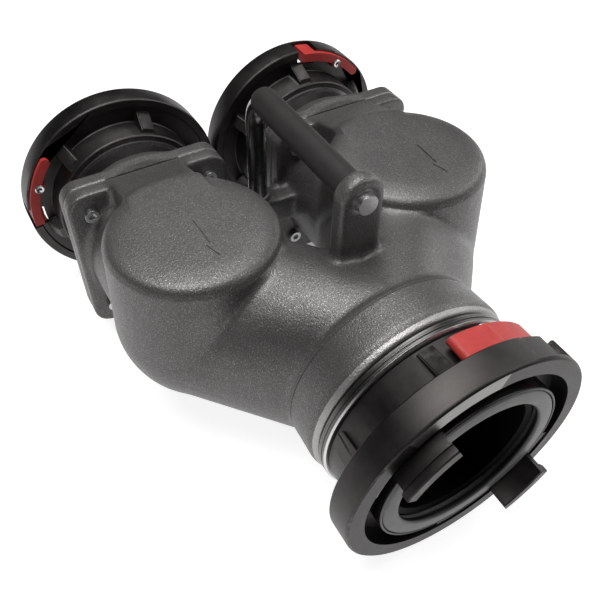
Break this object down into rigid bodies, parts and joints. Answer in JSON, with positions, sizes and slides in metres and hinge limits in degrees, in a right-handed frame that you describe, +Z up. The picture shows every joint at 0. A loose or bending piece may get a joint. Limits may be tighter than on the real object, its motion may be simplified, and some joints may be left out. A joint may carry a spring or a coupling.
{
  "type": "two-way collecting breeching with non-return flap valves",
  "caption": "Portable two-way collecting breeching for fire hose: two flap-valved inlets, one larger outlet, quarter-turn lug couplings with red locking levers, and a carrying handle.",
  "frame": {"origin": "centre of the outlet coupling's sealing face", "axes": "+X across the two inlets, +Y from the outlet towards the inlets, +Z up towards the handle"},
  "size_m": [0.3982, 0.4855, 0.2555],
  "materials": {
    "casting": "painted, fine hammered texture",
    "machined_aluminium": "turned, bare",
    "anodised_aluminium": "black hard anodised",
    "lever_aluminium": "red paint",
    "zinc_steel": "zinc plated",
    "black_steel": "gloss black paint",
    "rubber": "matt",
    "seal_rubber": "matt grey",
    "bronze": "machined"
  },
  "bodies": {
    "housing": {"body": "casting", "handle_rod": "black_steel", "handle_grip": "rubber", "handle_bolt": "zinc_steel", "handle_nut": "zinc_steel", "outlet_end_ring": "machined_aluminium", "outlet_tail": "anodised_aluminium", "outlet_tail_seal": "rubber", "outlet_face_seal": "seal_rubber", "left_inlet_plate": "casting", "left_flange_bolts": "zinc_steel", "left_flange_seal": "rubber", "left_valve_seat": "bronze", "left_hinge_pin": "zinc_steel", "left_tail": "anodised_aluminium", "left_tail_seal": "rubber", "left_face_seal": "seal_rubber", "left_snap_ring": "zinc_steel", "right_inlet_plate": "casting", "right_flange_bolts": "zinc_steel", "right_flange_seal": "rubber", "right_valve_seat": "bronze", "right_hinge_pin": "zinc_steel", "right_tail": "anodised_aluminium", "right_tail_seal": "rubber", "right_face_seal": "seal_rubber", "right_snap_ring": "zinc_steel"},
    "left_flap_assembly": {"left_flap": "machined_aluminium", "left_flap_facing": "rubber", "left_facing_plate": "machined_aluminium", "left_facing_screw": "zinc_steel"},
    "left_ring": {"left_lug_ring": "anodised_aluminium", "left_lever_pin": "zinc_steel", "left_lever_spring": "zinc_steel"},
    "left_lock": {"left_lever": "lever_aluminium"},
    "right_flap_assembly": {"right_flap": "machined_aluminium", "right_flap_facing": "rubber", "right_facing_plate": "machined_aluminium", "right_facing_screw": "zinc_steel"},
    "right_ring": {"right_lug_ring": "anodised_aluminium", "right_lever_pin": "zinc_steel", "right_lever_spring": "zinc_steel"},
    "right_lock": {"right_lever": "lever_aluminium"},
    "outlet_ring": {"outlet_lug_ring": "anodised_aluminium", "outlet_lever_pin": "zinc_steel", "outlet_lever_spring": "zinc_steel"},
    "outlet_lock": {"outlet_lever": "lever_aluminium"}
  },
  "joints": [
    {"name": "left_flap_hinge", "type": "hinge", "parent": "housing", "child": "left_flap_assembly", "pos_m": [-0.1001, 0.3385, 0.0553], "axis": [-1, 0, 0], "range_deg": [0, 45]},
    {"name": "left_ring_turn", "type": "hinge", "parent": "housing", "child": "left_ring", "pos_m": [-0.1001, 0.425, -0.0027], "axis": [0, 1, 0], "continuous": true},
    {"name": "left_lever_rock", "type": "hinge", "parent": "left_ring", "child": "left_lock", "pos_m": [-0.1828, 0.4237, 0.03071], "axis": [0, 1, 0], "range_deg": [0, 5], "stiffness_Nm_per_rad": 0.6, "springref_deg": -28.65},
    {"name": "right_flap_hinge", "type": "hinge", "parent": "housing", "child": "right_flap_assembly", "pos_m": [0.1001, 0.3385, 0.0553], "axis": [-1, 0, 0], "range_deg": [0, 45]},
    {"name": "right_ring_turn", "type": "hinge", "parent": "housing", "child": "right_ring", "pos_m": [0.1001, 0.425, -0.0027], "axis": [0, 1, 0], "continuous": true},
    {"name": "right_lever_rock", "type": "hinge", "parent": "right_ring", "child": "right_lock", "pos_m": [0.14604, 0.4237, 0.07376], "axis": [0, 1, 0], "range_deg": [0, 5], "stiffness_Nm_per_rad": 0.6, "springref_deg": -28.65},
    {"name": "outlet_ring_turn", "type": "hinge", "parent": "housing", "child": "outlet_ring", "pos_m": [0, 0.03, 0], "axis": [0, 1, 0], "continuous": true},
    {"name": "outlet_lever_rock", "type": "hinge", "parent": "outlet_ring", "child": "outlet_lock", "pos_m": [0.0269, 0.035, 0.08798], "axis": [0, -1, 0], "range_deg": [0, 5], "stiffness_Nm_per_rad": 0.6, "springref_deg": -28.65}
  ]
}
